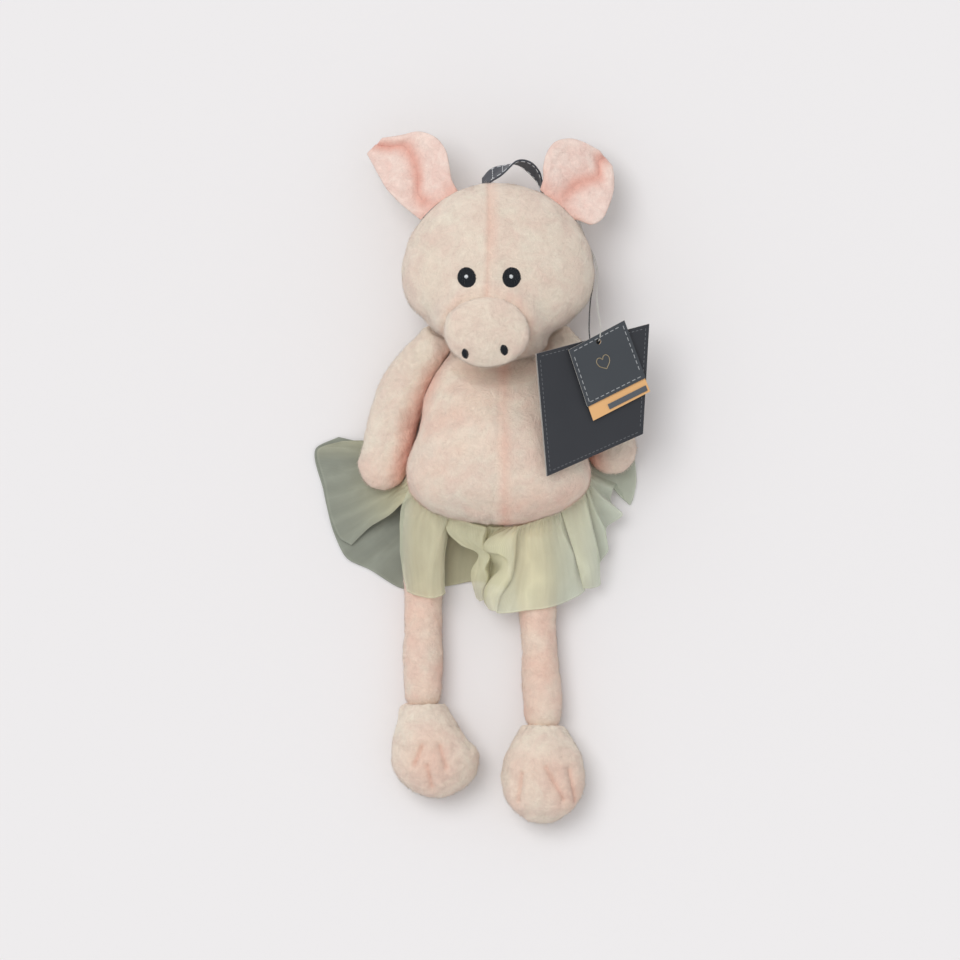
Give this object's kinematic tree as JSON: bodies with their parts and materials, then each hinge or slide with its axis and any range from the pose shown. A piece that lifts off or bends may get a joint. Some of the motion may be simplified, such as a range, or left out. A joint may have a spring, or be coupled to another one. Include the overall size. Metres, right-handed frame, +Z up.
{
  "type": "plush pig",
  "caption": "Stuffed toy pig lying on its back, with floppy ears, long jointed limbs, a gathered skirt, a hanging loop and tags.",
  "frame": {"origin": "middle of the flat that the torso's back lies on, 62 mm below the neck's turning line", "axes": "+Y from the torso to the head, the toy's longest way; +Z up, from the back to the belly; +X to the toy's own left"},
  "size_m": [0.2207, 0.4556, 0.1035],
  "materials": {
    "plush_pink": "short pile, matt",
    "ear_pink": "smooth velour, matt",
    "fibre_fill": "loose polyester fibre",
    "thread_black": "satin-stitch embroidery",
    "thread_white": "satin-stitch embroidery",
    "organza_sage": "sheer, slight lustre",
    "ribbon_grey": "woven ribbon",
    "card_dark": "matt printed card",
    "card_kraft": "uncoated kraft card",
    "paper_grey": "matt label paper",
    "string_dark": "twisted cotton string",
    "string_light": "thin elastic string"
  },
  "bodies": {
    "torso": {"torso_front_left": "plush_pink", "torso_front_right": "plush_pink", "torso_back": "plush_pink", "torso_stuffing": "fibre_fill", "skirt_back": "organza_sage", "skirt_front_right": "organza_sage", "skirt_front_left": "organza_sage", "skirt_side_left": "organza_sage"},
    "head": {"face_left": "plush_pink", "face_right": "plush_pink", "head_back": "plush_pink", "head_stuffing": "fibre_fill", "muzzle_cover": "plush_pink", "muzzle_stuffing": "fibre_fill", "eye_left": "thread_black", "eye_right": "thread_black", "eye_glint_left": "thread_white", "eye_glint_right": "thread_white", "nostril_left": "thread_black", "nostril_right": "thread_black", "ribbon_loop": "ribbon_grey", "tag_string_large": "string_dark", "tag_string_small": "string_light"},
    "ear_left": {"ear_left_inner": "ear_pink", "ear_left_back": "plush_pink"},
    "ear_right": {"ear_right_inner": "ear_pink", "ear_right_back": "plush_pink"},
    "arm_left": {"arm_left_cover": "plush_pink", "arm_left_stuffing": "fibre_fill"},
    "arm_right": {"arm_right_cover": "plush_pink", "arm_right_stuffing": "fibre_fill"},
    "leg_left": {"leg_left_cover": "plush_pink", "leg_left_stuffing": "fibre_fill"},
    "leg_right": {"leg_right_cover": "plush_pink", "leg_right_stuffing": "fibre_fill"},
    "foot_left": {"foot_left_cover": "plush_pink", "foot_left_stuffing": "fibre_fill"},
    "foot_right": {"foot_right_cover": "plush_pink", "foot_right_stuffing": "fibre_fill"},
    "tag_large": {"swing_tag_large": "card_dark"},
    "tag_small": {"swing_tag_small": "card_dark", "swing_tag_backing": "card_kraft", "price_label": "paper_grey"}
  },
  "joints": [
    {"name": "neck", "type": "hinge", "parent": "torso", "child": "head", "pos_m": [0, 0.062, 0.02], "axis": [0, 0, 1], "range_deg": [-6, 9], "deforming": ["tag_string_large", "tag_string_small"]},
    {"name": "ear_left_flap", "type": "hinge", "parent": "head", "child": "ear_left", "pos_m": [0.0404, 0.157, 0.046], "axis": [0.6428, -0.766, 0], "range_deg": [0, 60]},
    {"name": "ear_right_flap", "type": "hinge", "parent": "head", "child": "ear_right", "pos_m": [-0.0383, 0.156, 0.046], "axis": [0.7108, 0.7034, 0], "range_deg": [0, 60]},
    {"name": "shoulder_left", "type": "hinge", "parent": "torso", "child": "arm_left", "pos_m": [0.04, 0.065, 0.0176], "axis": [0, 0, 1], "range_deg": [0, 45]},
    {"name": "shoulder_right", "type": "hinge", "parent": "torso", "child": "arm_right", "pos_m": [-0.04, 0.064, 0.0176], "axis": [0, 0, -1], "range_deg": [0, 45]},
    {"name": "hip_left", "type": "hinge", "parent": "torso", "child": "leg_left", "pos_m": [0.024, -0.052, 0.0149], "axis": [-1, 0, 0], "range_deg": [0, 45], "deforming": ["skirt_front_left"]},
    {"name": "hip_right", "type": "hinge", "parent": "torso", "child": "leg_right", "pos_m": [-0.0476, -0.045, 0.0149], "axis": [-1, 0, 0], "range_deg": [0, 45], "deforming": ["skirt_front_right"]},
    {"name": "ankle_left", "type": "hinge", "parent": "leg_left", "child": "foot_left", "pos_m": [0.031, -0.18, 0.0149], "axis": [-1, 0, 0], "range_deg": [0, 35]},
    {"name": "ankle_right", "type": "hinge", "parent": "leg_right", "child": "foot_right", "pos_m": [-0.0482, -0.166, 0.0149], "axis": [-1, 0, 0], "range_deg": [0, 35]},
    {"name": "large_tag_swing", "type": "hinge", "parent": "torso", "child": "tag_large", "pos_m": [0.062, 0.0626, 0.0676], "axis": [0.3714, 0, 0.9285], "range_deg": [-12, 20]},
    {"name": "small_tag_swing", "type": "hinge", "parent": "torso", "child": "tag_small", "pos_m": [0.0664, 0.065, 0.0658], "axis": [0.3714, 0, 0.9285], "range_deg": [-20, 25]}
  ]
}
